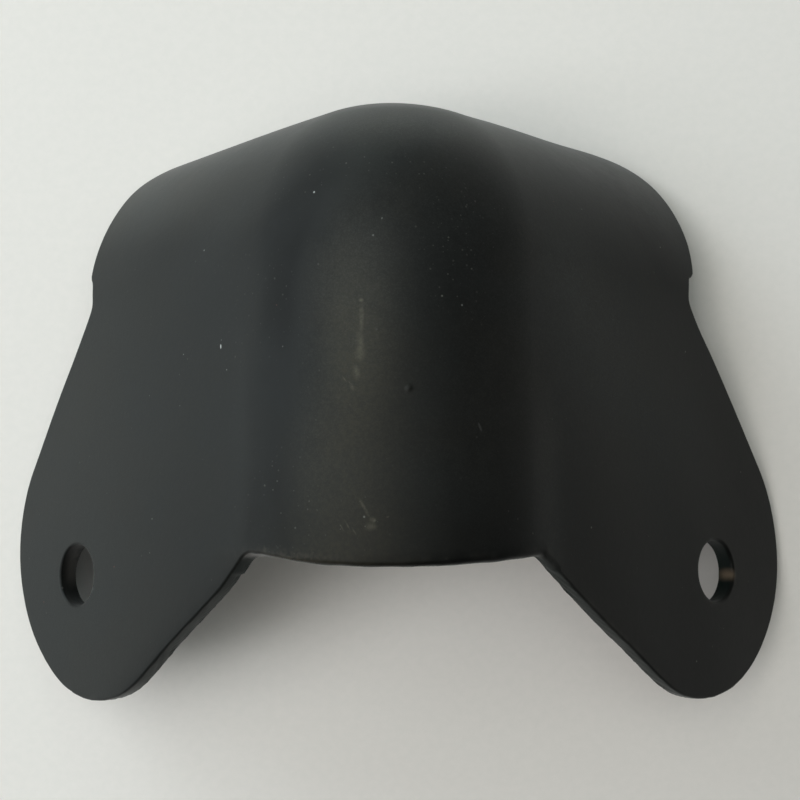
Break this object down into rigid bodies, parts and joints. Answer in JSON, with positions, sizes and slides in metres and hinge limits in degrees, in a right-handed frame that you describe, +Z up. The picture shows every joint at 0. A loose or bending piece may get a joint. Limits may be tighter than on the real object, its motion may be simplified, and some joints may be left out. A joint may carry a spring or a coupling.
{
  "type": "corner protector",
  "caption": "Pressed sheet-steel corner protector with a rounded ridge, a ball-shaped corner, a short lip and a lobed leg with a screw hole on each wing.",
  "frame": {"origin": "middle of the bottom of its box, on the surface it rests on", "axes": "+Z up out of the ridge, +Y along the ridge towards the lip and the ball-shaped corner, +X from the left wing to the right wing; it lies hollow side down, on the ends of its two legs and on the rim of the lip"},
  "size_m": [0.0649, 0.0472, 0.0277],
  "materials": {
    "black_paint": "satin"
  },
  "bodies": {
    "root": {"corner_protector": "black_paint"}
  },
  "joints": []
}
